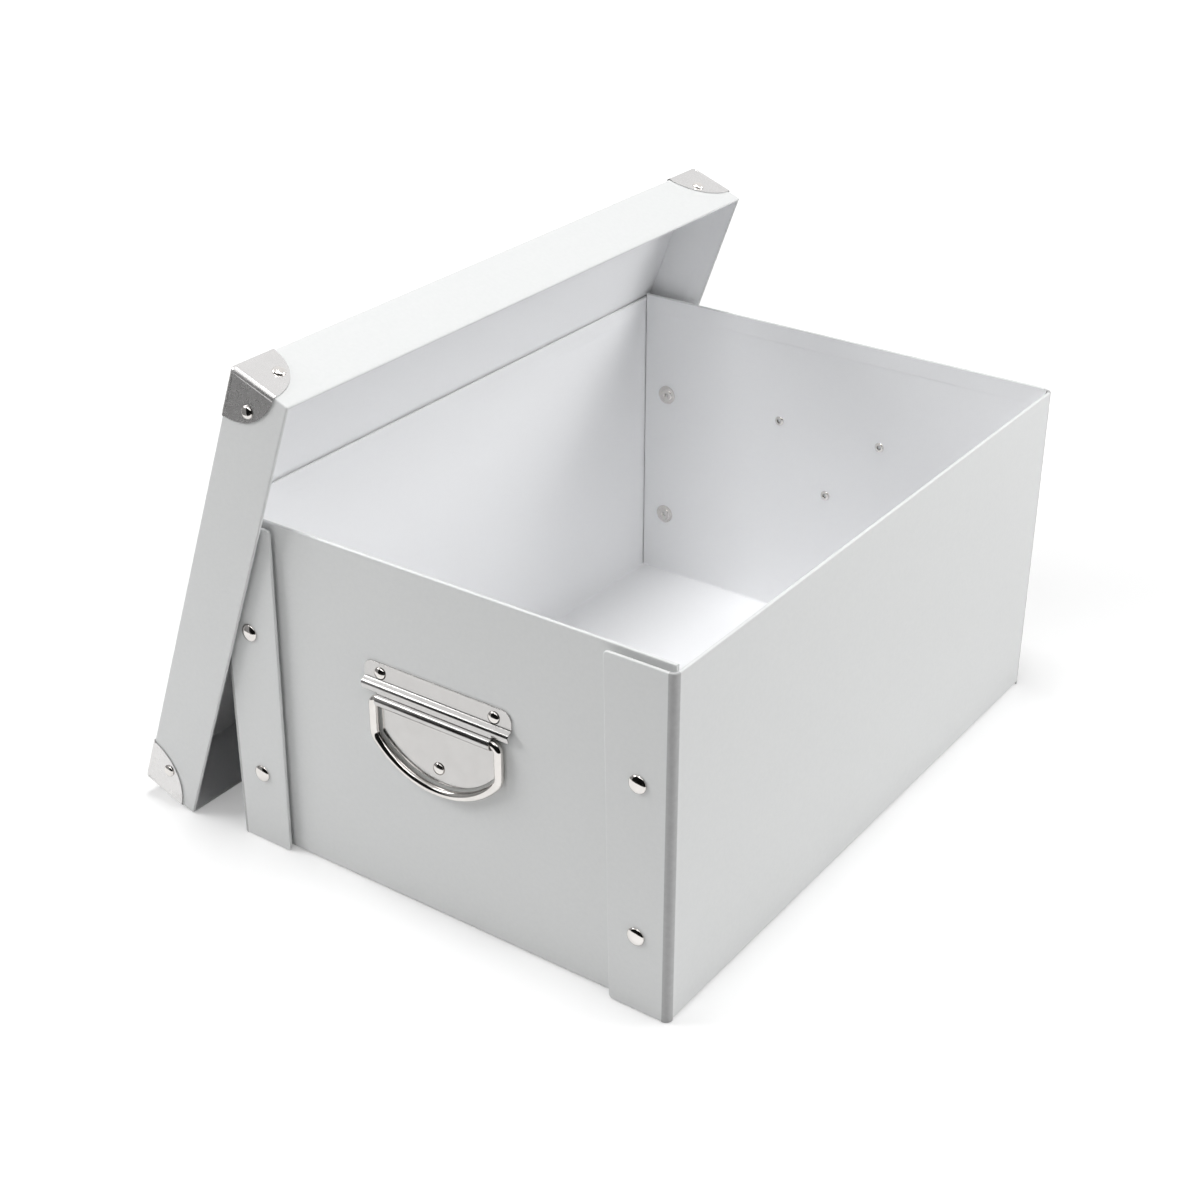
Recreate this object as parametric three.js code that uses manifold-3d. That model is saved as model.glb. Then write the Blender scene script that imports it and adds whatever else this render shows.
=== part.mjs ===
// Collapsible storage box of paper-covered board, with snapped corner flaps, two drop handles
// and a lid with metal corners that leans on the left wall.
//
// Millimetres, +Z up. The origin is on the floor under the middle of the box. The long walls
// run along Y, the end walls with the handles face -Y and +Y, and the lid leans on the -X wall.

import * as THREE from 'three';
import { mergeVertices } from 'three/addons/utils/BufferGeometryUtils.js';
import Module from 'manifold-3d';

const wasm = await Module();
wasm.setup();

// Box
const boxLength = 400;
const boxWidth = 284;
const endWallHeight = 200;
const sideWallHeight = 197.5;
const board = 2;
const floorFoldRadius = 3;
const cornerFoldRadius = 4;
const foldSlit = 0.3;
const sideGap = 0.5;

// Flaps that wrap from the long walls onto the end walls
const flapTopWidth = 39.5;
const flapBottomWidth = 35.5;
const flapCornerRadius = 2.5;
const flapFloorGap = 0.3;
const flapAirGap = 2.4;

// Press studs, measured outward from the outer face of the end wall
const snapInset = 19.5;
const snapHeights = { lower: 45.5, upper: 133 };
const snapCapRadius = 5;
const snapCapRise = 2.2;
const snapCapRim = 0.4;
const snapShankRadius = 1.9;
const snapSocketRadius = 4.6;
const snapStudRadius = 2;
const snapStudHeight = 2.1;
const snapBaseRadius = 4.2;
const snapBaseThickness = 0.5;
const snapBoreRadius = 1.2;
const eyeletFlangeRadius = 6.2;
const eyeletFlangeThickness = 0.6;
const eyeletHubRadius = 4;
const eyeletHubThickness = 0.8;

// Handles, with heights measured from the pin line of the bail
const handlePinHeight = 122;
const plateThickness = 0.8;
const plateHalfWidth = 46.5;
const plateTop = 20;
const plateCornerRadius = 5.5;
const wireRadius = 2.5;
const wireClearance = 0.3;
const bailHalfWidth = 39.9;
const bailDrop = 41.2;
const bailArcRadius = 50;
const bailCornerRadius = 8;
const bailButtGap = 0.4;
const bailPlateGap = 1.1;
const lipTop = 10;
const lipRise = 3.6;
const lipCrest = 6.6;
const beadFoot = 0.8;

// Rivets
const rivetHeadRadius = 3.5;
const rivetHeadRise = 1.8;
const rivetShankRadius = 1.7;
const rivetTailRadius = 3;
const rivetTailRise = 1;
const rivetBoreRadius = 1.2;
const handleRivetInset = 10.5;
const handleRivetDrop = 6;
const lowerRivetRise = 12.2;

// Lid
const lidSideClearance = 0.8;
const lidDepth = 37;
const lidLean = 20;
const cornerSheet = 0.8;
const cornerReach = 28.5;
const cornerRivetAcross = 15;
const cornerRivetAlong = 17;

// Fits
const runningGap = 0.3;
const holeClearance = 0.3;

// Steps on round shapes
const arcSteps = 3;
const holeSides = 12;
const fastenerSides = 12;
const wireSides = 8;
const bailArcSteps = 8;

// Places that follow from the sizes
const halfWidth = boxWidth / 2;
const halfLength = boxLength / 2;
const endFace = halfLength - board - flapAirGap;
const flapInner = flapAirGap;
const flapOuter = flapAirGap + board;
const snapX = halfWidth - snapInset;
const pinRise = wireRadius + wireClearance;
const handleRivets = {
  left: { x: -(plateHalfWidth - handleRivetInset), z: plateTop - handleRivetDrop },
  right: { x: plateHalfWidth - handleRivetInset, z: plateTop - handleRivetDrop },
  lower: { x: 0, z: lowerRivetRise - bailDrop },
};
const lidClearance = snapCapRise + runningGap;
const lidHalfLength = halfLength + lidClearance + board;
const lidWidth = boxWidth + 2 * (lidSideClearance + board);
const lean = THREE.MathUtils.degToRad(lidLean);

const paper = { color: 0xe4e5e5, roughness: 0.55, metalness: 0 };
const nickel = { color: 0xc9c7c4, roughness: 0.22, metalness: 1 };

const group = new THREE.Group();
group.name = 'collapsible_storage_box';

// Solids from three.js geometry and back

function solid(geometry) {
  const bare = geometry.clone();
  bare.deleteAttribute('normal');
  bare.deleteAttribute('uv');
  const merged = mergeVertices(bare, 1e-4);
  const vertProperties = new Float32Array(merged.attributes.position.array);
  const triVerts = new Uint32Array(merged.index.array);
  return new wasm.Manifold(new wasm.Mesh({ numProp: 3, vertProperties, triVerts }));
}

function geometryOf(manifold) {
  const mesh = manifold.getMesh();
  const geometry = new THREE.BufferGeometry();
  geometry.setAttribute('position', new THREE.BufferAttribute(mesh.vertProperties, 3));
  geometry.setIndex(new THREE.BufferAttribute(mesh.triVerts, 1));
  geometry.computeVertexNormals();
  return geometry;
}

// A copy with its X or Y side swapped, its faces still pointing out
function mirrored(geometry, signX, signY) {
  const copy = geometry.clone();
  copy.scale(signX, signY, 1);
  if (signX * signY < 0) {
    const index = copy.index.array;
    for (let i = 0; i < index.length; i += 3) {
      [index[i], index[i + 1]] = [index[i + 1], index[i]];
    }
  }
  copy.computeVertexNormals();
  return copy;
}

function add(parent, name, geometry, finish) {
  const mesh = new THREE.Mesh(geometry, new THREE.MeshStandardMaterial(finish));
  mesh.name = name;
  parent.add(mesh);
  return mesh;
}

// Outlines

// Points of an outline whose corners are [x, y, radius]; a first and last radius of 0 leave it open
function roundedPoints(corners, steps = arcSteps) {
  const points = [];
  corners.forEach(([x, y, radius], i) => {
    const corner = new THREE.Vector2(x, y);
    if (!radius) {
      points.push(corner);
      return;
    }
    const before = corners.at(i - 1);
    const after = corners[(i + 1) % corners.length];
    const back = new THREE.Vector2(before[0], before[1]).sub(corner).normalize();
    const ahead = new THREE.Vector2(after[0], after[1]).sub(corner).normalize();
    const half = Math.acos(back.dot(ahead)) / 2;
    const middle = back.clone().add(ahead).normalize();
    const centre = corner.clone().addScaledVector(middle, radius / Math.sin(half));
    const start = corner.clone().addScaledVector(back, radius / Math.tan(half)).sub(centre);
    const end = corner.clone().addScaledVector(ahead, radius / Math.tan(half)).sub(centre);
    const sweep = Math.PI - 2 * half;
    for (let k = 0; k <= steps; k += 1) {
      const fromStart = Math.sin((1 - k / steps) * sweep) / Math.sin(sweep);
      const fromEnd = Math.sin((k / steps) * sweep) / Math.sin(sweep);
      points.push(centre.clone().addScaledVector(start, fromStart).addScaledVector(end, fromEnd));
    }
  });
  return points;
}

// Points on an arc, with angles in degrees
function arcPoints(x, y, radius, from, to, steps = arcSteps) {
  return Array.from({ length: steps + 1 }, (_, k) => {
    const angle = THREE.MathUtils.degToRad(from + ((to - from) * k) / steps);
    return new THREE.Vector2(x + radius * Math.cos(angle), y + radius * Math.sin(angle));
  });
}

// The outline of a sheet of the given thickness that follows a path
function sheetOutline(path, thickness) {
  const normals = path.map((point, i) => {
    const before = path[Math.max(i - 1, 0)];
    const after = path[Math.min(i + 1, path.length - 1)];
    const along = after.clone().sub(before).normalize();
    return new THREE.Vector2(-along.y, along.x);
  });
  const left = path.map((point, i) => point.clone().addScaledVector(normals[i], thickness / 2));
  const right = path.map((point, i) => point.clone().addScaledVector(normals[i], -thickness / 2));
  return [...left, ...right.reverse()];
}

function extrude(points, depth) {
  return new THREE.ExtrudeGeometry(new THREE.Shape(points), { depth, bevelEnabled: false });
}

// The outline is in Y and Z
function extrudeX(points, from, to) {
  const geometry = extrude(points, to - from);
  const basis = new THREE.Matrix4().makeBasis(
    new THREE.Vector3(0, 1, 0),
    new THREE.Vector3(0, 0, 1),
    new THREE.Vector3(1, 0, 0),
  );
  return geometry.applyMatrix4(basis).translate(from, 0, 0);
}

// The outline is in X and Z
function extrudeY(points, from, to) {
  return extrude(points, to - from).rotateX(Math.PI / 2).translate(0, to, 0);
}

// The outline is in X and Y
function extrudeZ(points, from, to) {
  return extrude(points, to - from).translate(0, 0, from);
}

function block(x0, x1, y0, y1, z0, z1) {
  const geometry = new THREE.BoxGeometry(x1 - x0, y1 - y0, z1 - z0);
  return geometry.translate((x0 + x1) / 2, (y0 + y1) / 2, (z0 + z1) / 2);
}

// A bore along Y from y0 to y1
function boreY(x, z, radius, y0, y1) {
  const geometry = new THREE.CylinderGeometry(radius, radius, y1 - y0, holeSides);
  return geometry.translate(x, (y0 + y1) / 2, z);
}

// A bore along X from x0 to x1
function boreX(y, z, radius, x0, x1) {
  const geometry = new THREE.CylinderGeometry(radius, radius, x1 - x0, holeSides);
  return geometry.rotateZ(Math.PI / 2).translate((x0 + x1) / 2, y, z);
}

// A turned piece whose profile is [radius, height], its axis along +Y
function turned(profile) {
  const points = profile.map(([radius, height]) => new THREE.Vector2(radius, height));
  return geometryOf(solid(new THREE.LatheGeometry(points, fastenerSides)));
}

// Box body: one sheet folded up into a floor and four walls

// A floor with a wall at each side, as an outline in a level direction and Z
function channelOutline(half, height) {
  const inner = floorFoldRadius - board;
  return roundedPoints([
    [-half, height, 0],
    [-half, 0, floorFoldRadius],
    [half, 0, floorFoldRadius],
    [half, height, 0],
    [half - board, height, 0],
    [half - board, board, inner],
    [-half + board, board, inner],
    [-half + board, height, 0],
  ]);
}

// Half of the round fold at the front right corner, as an outline in X and Y
function foldOutline(from, to) {
  const x = halfWidth - cornerFoldRadius;
  const y = -halfLength + cornerFoldRadius;
  return [
    ...arcPoints(x, y, cornerFoldRadius, from, to),
    ...arcPoints(x, y, cornerFoldRadius - board, to, from),
  ];
}

const slitAngle = THREE.MathUtils.radToDeg(foldSlit / 2 / (cornerFoldRadius - board / 2));

function bodyGeometry() {
  const wallEnd = halfLength - cornerFoldRadius;
  const floorEnd = endFace - floorFoldRadius;
  const floorSide = halfWidth - floorFoldRadius;
  const endHalf = halfWidth - board - sideGap;
  let body = solid(extrudeY(channelOutline(halfWidth, sideWallHeight), -wallEnd, wallEnd));
  for (const sign of [-1, 1]) {
    const beyond = [sign * floorEnd, sign * boxLength].sort((a, b) => a - b);
    const trim = block(-floorSide, floorSide, ...beyond, -board, endWallHeight);
    body = body.subtract(solid(trim));
  }
  body = body.add(solid(extrudeX(channelOutline(endFace, endWallHeight), -endHalf, endHalf)));
  const lap = -wallEnd + board / 2;
  const fold = extrudeZ([
    new THREE.Vector2(halfWidth - board, lap),
    ...foldOutline(-45 + slitAngle, 0).reverse().slice(0, arcSteps + 1),
    ...arcPoints(halfWidth - cornerFoldRadius, -wallEnd, cornerFoldRadius, -45 + slitAngle, 0),
    new THREE.Vector2(halfWidth, lap),
  ], flapFloorGap, sideWallHeight);
  const foldPiece = geometryOf(solid(fold));
  for (const signX of [-1, 1]) {
    for (const signY of [-1, 1]) {
      body = body.add(solid(mirrored(foldPiece, signX, signY)));
    }
  }
  const through = endFace + board;
  for (const { x, z } of Object.values(handleRivets)) {
    const hole = boreY(x, handlePinHeight + z, rivetShankRadius + holeClearance, -through, through);
    body = body.subtract(solid(hole));
  }
  for (const z of Object.values(snapHeights)) {
    for (const x of [-snapX, snapX]) {
      body = body.subtract(solid(boreY(x, z, snapShankRadius + holeClearance, -through, through)));
    }
  }
  return geometryOf(body);
}

add(group, 'box_body', bodyGeometry(), paper);

// Corner flaps, modelled at the front right and mirrored to the other corners

function flapGeometry() {
  const edgeBottom = halfWidth - flapBottomWidth;
  const edgeTop = halfWidth - flapTopWidth;
  const section = extrudeZ([
    new THREE.Vector2(edgeTop, -halfLength),
    ...arcPoints(halfWidth - cornerFoldRadius, -halfLength + cornerFoldRadius, cornerFoldRadius,
      -90, -45 - slitAngle),
    ...arcPoints(halfWidth - cornerFoldRadius, -halfLength + cornerFoldRadius,
      cornerFoldRadius - board, -45 - slitAngle, -90),
    new THREE.Vector2(edgeTop, -halfLength + board),
  ], flapFloorGap, sideWallHeight);
  const face = extrudeY(roundedPoints([
    [edgeBottom, flapFloorGap, flapCornerRadius],
    [boxWidth, flapFloorGap, 0],
    [boxWidth, sideWallHeight, 0],
    [edgeTop, sideWallHeight, flapCornerRadius],
  ]), -boxLength, 0);
  let flap = solid(section).intersect(solid(face));
  for (const z of Object.values(snapHeights)) {
    const hole = boreY(snapX, z, snapShankRadius + holeClearance, -boxLength, 0);
    flap = flap.subtract(solid(hole));
  }
  return geometryOf(flap);
}

const flap = flapGeometry();
const ends = { front: -1, back: 1 };
const sides = { left: -1, right: 1 };

for (const [end, signY] of Object.entries(ends)) {
  for (const [side, signX] of Object.entries(sides)) {
    add(group, `flap_${end}_${side}`, mirrored(flap, signX, -signY), paper);
  }
}

// Press studs: cap and socket on the flap, stud and eyelet on the end wall

const snapPieces = {
  snap_cap: turned([
    [0, flapInner],
    [snapShankRadius, flapInner],
    [snapShankRadius, flapOuter],
    [snapCapRadius, flapOuter],
    [snapCapRadius, flapOuter + snapCapRim],
    [snapCapRadius * 0.86, flapOuter + snapCapRise * 0.55],
    [snapCapRadius * 0.6, flapOuter + snapCapRise * 0.85],
    [0, flapOuter + snapCapRise],
  ]),
  snap_socket: turned([
    [snapStudRadius + runningGap, snapBaseThickness + runningGap],
    [snapSocketRadius, snapBaseThickness + runningGap],
    [snapSocketRadius, flapInner],
    [snapStudRadius + runningGap, flapInner],
    [snapStudRadius + runningGap, snapBaseThickness + runningGap],
  ]),
  snap_stud: turned([
    [0, snapStudHeight - snapBaseThickness],
    [snapBoreRadius, snapStudHeight - snapBaseThickness],
    [snapBoreRadius, 0],
    [snapBaseRadius, 0],
    [snapBaseRadius, snapBaseThickness],
    [snapShankRadius, snapBaseThickness],
    [snapStudRadius, snapStudHeight - snapBaseThickness / 2],
    [snapBoreRadius, snapStudHeight],
    [0, snapStudHeight],
  ]),
  snap_eyelet: turned([
    [snapBoreRadius, 0],
    [snapBoreRadius, -board - eyeletFlangeThickness - eyeletHubThickness],
    [eyeletHubRadius, -board - eyeletFlangeThickness - eyeletHubThickness],
    [eyeletHubRadius, -board - eyeletFlangeThickness],
    [eyeletFlangeRadius, -board - eyeletFlangeThickness],
    [eyeletFlangeRadius, -board],
    [snapShankRadius, -board],
    [snapShankRadius, 0],
    [snapBoreRadius, 0],
  ]),
};

for (const [end, signY] of Object.entries(ends)) {
  for (const [side, signX] of Object.entries(sides)) {
    for (const [height, z] of Object.entries(snapHeights)) {
      for (const [piece, geometry] of Object.entries(snapPieces)) {
        const mesh = add(group, `${piece}_${end}_${side}_${height}`, geometry, nickel);
        mesh.position.set(signX * snapX, signY * endFace, z);
        mesh.rotation.z = signY < 0 ? Math.PI : 0;
      }
    }
  }
}

// Handles: a pressed plate, a wire bail in its bead and three rivets

// The D shape below the pin line, as outline corners from right to left
function dropCorners(half, radius, cornerRadius) {
  const centre = bailArcRadius - bailDrop;
  const reach = THREE.MathUtils.radToDeg(Math.asin(half / radius));
  const arc = arcPoints(0, centre, radius, -90 + reach, -90 - reach, bailArcSteps);
  const corners = arc.map((point) => [point.x, point.y, 0]);
  corners[0][2] = cornerRadius;
  corners.at(-1)[2] = cornerRadius;
  return corners;
}

function plateGeometry() {
  const lowerHalf = bailHalfWidth - wireRadius - bailPlateGap;
  const beadRadius = pinRise + plateThickness / 2;
  const middle = plateThickness / 2;
  const upper = extrudeY(roundedPoints([
    [-plateHalfWidth, lipTop, 0],
    [plateHalfWidth, lipTop, 0],
    [plateHalfWidth, plateTop, plateCornerRadius],
    [-plateHalfWidth, plateTop, plateCornerRadius],
  ]), 0, plateThickness);
  const lip = [
    new THREE.Vector2(middle, lipTop + plateThickness),
    new THREE.Vector2(middle, lipTop),
    new THREE.Vector2(lipRise * 0.7, lipCrest + plateThickness * 2.4),
    new THREE.Vector2(lipRise, lipCrest + plateThickness),
    new THREE.Vector2(lipRise, lipCrest - plateThickness),
    new THREE.Vector2(lipRise - middle, pinRise + wireClearance + plateThickness),
  ];
  const barrel = [
    lip.at(-2),
    lip.at(-1),
    ...arcPoints(pinRise, 0, beadRadius, 75, -90, 2 * arcSteps),
    new THREE.Vector2(middle, -beadRadius - beadFoot),
    new THREE.Vector2(middle, -beadRadius - beadFoot - plateThickness),
  ];
  const lowerInset = wireRadius + bailPlateGap;
  const lower = extrudeY(roundedPoints([
    [-lowerHalf, -beadRadius - beadFoot, 0],
    [lowerHalf, -beadRadius - beadFoot, 0],
    ...dropCorners(lowerHalf, bailArcRadius - lowerInset, bailCornerRadius - lowerInset),
  ]), 0, plateThickness);
  let plate = solid(upper)
    .add(solid(extrudeX(sheetOutline(lip, plateThickness), -plateHalfWidth, plateHalfWidth)))
    .add(solid(extrudeX(sheetOutline(barrel, plateThickness), -lowerHalf, lowerHalf)))
    .add(solid(lower));
  for (const { x, z } of Object.values(handleRivets)) {
    const hole = boreY(x, z, rivetShankRadius + holeClearance, -plateThickness, 2 * plateThickness);
    plate = plate.subtract(solid(hole));
  }
  return geometryOf(plate);
}

// A path that keeps its own stations, so that bends get more of them than straights
class StationPath extends THREE.Curve {
  constructor(stations) {
    super();
    this.stations = stations;
  }

  getPoint(t) {
    const place = Math.min(Math.max(t, 0), 1) * (this.stations.length - 1);
    const index = Math.min(Math.floor(place), this.stations.length - 2);
    return this.stations[index].clone().lerp(this.stations[index + 1], place - index);
  }

  getUtoTmapping(u) {
    return u;
  }
}

// The wire starts and ends in the middle of the bead, with a butt gap there
function bailGeometry() {
  const corners = [
    [bailButtGap / 2, 0, 0],
    [bailHalfWidth, 0, wireRadius + bailPlateGap],
    ...dropCorners(bailHalfWidth, bailArcRadius, bailCornerRadius),
    [-bailHalfWidth, 0, wireRadius + bailPlateGap],
    [-bailButtGap / 2, 0, 0],
  ];
  const stations = roundedPoints(corners).map((point) => new THREE.Vector3(point.x, 0, point.y));
  const section = new THREE.Shape(arcPoints(0, 0, wireRadius, 0, 360, wireSides).slice(0, -1));
  const wire = new THREE.ExtrudeGeometry(section, {
    steps: stations.length - 1,
    extrudePath: new StationPath(stations),
  });
  return geometryOf(solid(wire));
}

// A rivet through a sheet on a board, with its head outside and its set end inside
function rivetGeometry(headSeat, tailSeat) {
  return turned([
    [0, tailSeat],
    [rivetBoreRadius, tailSeat],
    [rivetBoreRadius, tailSeat - rivetTailRise],
    [rivetTailRadius * 0.7, tailSeat - rivetTailRise],
    [rivetTailRadius, tailSeat - rivetTailRise / 2],
    [rivetTailRadius, tailSeat],
    [rivetShankRadius, tailSeat],
    [rivetShankRadius, headSeat],
    [rivetHeadRadius, headSeat],
    [rivetHeadRadius * 0.92, headSeat + rivetHeadRise * 0.5],
    [rivetHeadRadius * 0.6, headSeat + rivetHeadRise * 0.86],
    [0, headSeat + rivetHeadRise],
  ]);
}

const plate = plateGeometry();
const bail = bailGeometry();
const handleRivet = rivetGeometry(plateThickness, -board);

for (const [end, signY] of Object.entries(ends)) {
  const handle = new THREE.Group();
  handle.position.set(0, signY * endFace, handlePinHeight);
  handle.rotation.z = signY < 0 ? Math.PI : 0;
  group.add(handle);
  add(handle, `handle_plate_${end}`, plate, nickel);
  add(handle, `handle_bail_${end}`, bail, nickel).position.y = pinRise;
  for (const [place, { x, z }] of Object.entries(handleRivets)) {
    const rivet = add(handle, `handle_rivet_${end}_${place}`, handleRivet, nickel);
    rivet.position.set(-signY * x, 0, z);
  }
}

// Lid: a tray whose local X runs up the lean and whose local Z points away from the box

const cornerX = { bottom: { at: 0, sign: -1 }, top: { at: lidWidth, sign: 1 } };

function lidGeometry() {
  const outer = block(0, lidWidth, -lidHalfLength, lidHalfLength, -lidDepth, 0);
  const inner = block(
    board, lidWidth - board, -lidHalfLength + board, lidHalfLength - board, -2 * lidDepth, -board,
  );
  let lid = solid(outer).subtract(solid(inner));
  const radius = rivetShankRadius + holeClearance;
  for (const { at, sign } of Object.values(cornerX)) {
    const x = at - sign * cornerRivetAlong;
    lid = lid.subtract(solid(boreY(x, -cornerRivetAcross, radius, -boxLength, boxLength)));
    for (const y of [-lidHalfLength + cornerRivetAlong, lidHalfLength - cornerRivetAlong]) {
      lid = lid.subtract(solid(boreX(y, -cornerRivetAcross, radius, at - 2 * board, at + 2 * board)));
    }
  }
  return geometryOf(lid);
}

// A metal corner whose three leaves face +X, +Y and +Z, with the lid's corner at the origin
function cornerGeometry() {
  const face = runningGap + cornerSheet;
  const leaf = [
    new THREE.Vector2(face, face),
    new THREE.Vector2(-cornerReach, face),
    ...arcPoints(0, 0, cornerReach, 180, 270, 2 * arcSteps),
    new THREE.Vector2(face, -cornerReach),
  ];
  const radius = rivetShankRadius + holeClearance;
  return geometryOf(
    solid(extrudeX(leaf, runningGap, face))
      .add(solid(extrudeY(leaf, runningGap, face)))
      .add(solid(extrudeZ(leaf, runningGap, face)))
      .subtract(solid(boreY(-cornerRivetAlong, -cornerRivetAcross, radius, -board, board)))
      .subtract(solid(boreX(-cornerRivetAlong, -cornerRivetAcross, radius, -board, board))),
  );
}

const lid = new THREE.Group();
const wallTop = new THREE.Vector2(-halfWidth, sideWallHeight);
const away = new THREE.Vector2(-Math.cos(lean), Math.sin(lean));
const footHeight = lidDepth * Math.sin(lean);
const panelFace = wallTop.dot(away) + board + runningGap;
lid.position.set((panelFace - footHeight * away.y) / away.x, 0, footHeight);
lid.rotation.y = lean - Math.PI / 2;
group.add(lid);

add(lid, 'lid', lidGeometry(), paper);

const corner = cornerGeometry();
const cornerRivet = rivetGeometry(2 * runningGap + cornerSheet, -board - runningGap);

for (const [end, signY] of Object.entries(ends)) {
  for (const [height, { at, sign }] of Object.entries(cornerX)) {
    const metal = add(lid, `lid_corner_${end}_${height}`, mirrored(corner, sign, signY), nickel);
    metal.position.set(at, signY * lidHalfLength, 0);
    const onEnd = add(lid, `lid_rivet_${end}_${height}_end`, cornerRivet, nickel);
    onEnd.position.set(at - sign * cornerRivetAlong, signY * lidHalfLength, -cornerRivetAcross);
    onEnd.rotation.z = signY < 0 ? Math.PI : 0;
    const onSide = add(lid, `lid_rivet_${end}_${height}_side`, cornerRivet, nickel);
    onSide.position.set(at, signY * (lidHalfLength - cornerRivetAlong), -cornerRivetAcross);
    onSide.rotation.z = (-sign * Math.PI) / 2;
  }
}

export default group;
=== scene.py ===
import math

import bmesh
import bpy
from mathutils import Matrix, Vector


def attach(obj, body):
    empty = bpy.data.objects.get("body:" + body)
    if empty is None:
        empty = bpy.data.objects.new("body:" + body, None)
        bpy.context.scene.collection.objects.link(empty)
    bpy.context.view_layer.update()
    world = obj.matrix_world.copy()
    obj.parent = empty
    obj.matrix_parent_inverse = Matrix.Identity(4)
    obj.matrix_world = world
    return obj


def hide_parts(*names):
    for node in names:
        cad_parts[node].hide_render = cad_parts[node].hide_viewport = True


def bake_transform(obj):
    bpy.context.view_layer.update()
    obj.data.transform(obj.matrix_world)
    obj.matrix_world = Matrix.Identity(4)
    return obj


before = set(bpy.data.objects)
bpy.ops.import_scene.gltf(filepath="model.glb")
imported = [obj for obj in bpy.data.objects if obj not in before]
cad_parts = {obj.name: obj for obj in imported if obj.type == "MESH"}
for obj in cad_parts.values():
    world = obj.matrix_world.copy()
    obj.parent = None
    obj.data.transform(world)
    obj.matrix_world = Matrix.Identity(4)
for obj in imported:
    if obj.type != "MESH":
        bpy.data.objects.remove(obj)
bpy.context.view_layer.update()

mm = 0.001
FULL_TURN = math.tau
QUARTER_TURN = math.pi / 2

# Box, as in the CAD
half_width = 142 * mm
half_length = 200 * mm
board = 2 * mm
side_wall_height = 197.5 * mm
end_wall_height = 200 * mm
end_face = 195.6 * mm
end_half_width = 139.5 * mm
floor_fold = 3 * mm
corner_fold = 4 * mm
paper_edge = 0.7 * mm
turned_in = 11 * mm
paper_step = 0.15 * mm

# Flaps and press studs
flap_foot = 0.3 * mm
flap_top_width = 39.5 * mm
flap_bottom_width = 35.5 * mm
flap_round = 2.5 * mm
snap_x = 122.5 * mm
snap_heights = {"lower": 45.5 * mm, "upper": 133 * mm}

# Handles, with heights from the pin line
pin_height = 122 * mm
handle_rivets = {"left": (36 * mm, 14 * mm), "right": (-36 * mm, 14 * mm), "lower": (0, -29 * mm)}
plate_sheet = 0.8 * mm
plate_edge = 0.2 * mm
plate_top, plate_foot = 20 * mm, 10 * mm
plate_corner = 5.5 * mm
lower_disc, lower_top, lower_corner = 46.4 * mm, -4.4 * mm, 4.4 * mm
plate_half_width = 46.5 * mm
lower_half_width = 36.3 * mm
pin_rise = 2.8 * mm
wire_radius = 2.5 * mm
bail_half_width = 39.9 * mm
bail_arc = 50 * mm
bail_arc_centre = 8.8 * mm
bail_corner = 8 * mm
bail_shoulder = wire_radius + 1.1 * mm
bail_butt = 0.2 * mm

# Lid, whose own X runs up the lean and whose own Z points away from the box
lid_width = 289.6 * mm
lid_half_length = 204.5 * mm
lid_depth = 37 * mm
lid_edge = 0.9 * mm
lid_lean = math.radians(20)
lid_foot = Vector((-211.73, 0, 12.65)) * mm
corner_reach = 28.5 * mm
corner_face = 1.05 * mm
corner_sheet = 0.45 * mm
bead_rise = 0.3 * mm
bead_half = 2.5 * mm
bead_groove = 0.45 * mm
rivet_across = 15 * mm
rivet_along = 17 * mm

# Rivets and edges; a rivet's heights in millimetres from the board's outer face
head_seat, tail_seat = 0.8, -2
same_spot = 1e-6
sharp_bend = 1.3

ENDS = {"front": -1, "back": 1}
SIDES = {"left": -1, "right": 1}


# Shaping

def verts_of(geom):
    return [g for g in geom if isinstance(g, bmesh.types.BMVert)]


def edges_of(geom):
    return [g for g in geom if isinstance(g, bmesh.types.BMEdge)]


def closed_loop(bm, points):
    """A ring of edges through the points."""
    verts = [bm.verts.new(p) for p in points]
    return [bm.edges.new(pair) for pair in zip(verts, verts[1:] + verts[:1])]


def run(bm, ring, way):
    """Pushes a ring of edges straight on and gives the new ring."""
    made = bmesh.ops.extrude_edge_only(bm, edges=ring)["geom"]
    verts = verts_of(made)
    bmesh.ops.translate(bm, verts=verts, vec=way)
    return [e for e in edges_of(made) if e.verts[0] in verts and e.verts[1] in verts]


def bend(bm, ring, centre, axis, angle, steps):
    """Turns a ring of edges round a bend and gives the new ring."""
    geom = ring + list({v for e in ring for v in e.verts})
    made = bmesh.ops.spin(bm, geom=geom, cent=centre, axis=axis, dvec=(0, 0, 0), angle=angle,
                          steps=steps, use_merge=False, use_duplicate=False)["geom_last"]
    verts = verts_of(made)
    return [e for e in edges_of(made) if e.verts[0] in verts and e.verts[1] in verts]


def close_ends(bm):
    """Fills the open ends and turns the faces outwards."""
    rims = [e for e in bm.edges if e.is_boundary]
    bmesh.ops.holes_fill(bm, edges=rims, sides=0)
    bmesh.ops.recalc_face_normals(bm, faces=bm.faces)


def soften(bm, edges, width, segments=3):
    """Rounds edges."""
    bmesh.ops.bevel(bm, geom=edges, offset=width, offset_type="OFFSET", affect="EDGES",
                    segments=segments, profile=0.5, material=-1, clamp_overlap=True)


def round_corners(bm, verts, radius, segments=5):
    """Rounds corners of a flat outline."""
    bmesh.ops.bevel(bm, geom=verts, offset=radius, offset_type="OFFSET", affect="VERTICES",
                    segments=segments, profile=0.5, material=-1, clamp_overlap=True)


def place(bm, matrix):
    """Puts a shape in its place; a mirrored one gets its faces turned outwards again."""
    bmesh.ops.transform(bm, matrix=matrix, verts=bm.verts)
    if matrix.determinant() < 0:
        bmesh.ops.recalc_face_normals(bm, faces=bm.faces)


def line_inside(bm, inside):
    """Gives the second paper, a brighter copy with painted light, to the faces whose middle is inside."""
    for face in bm.faces:
        face.material_index = int(inside(face.calc_center_bounds()))


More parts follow.
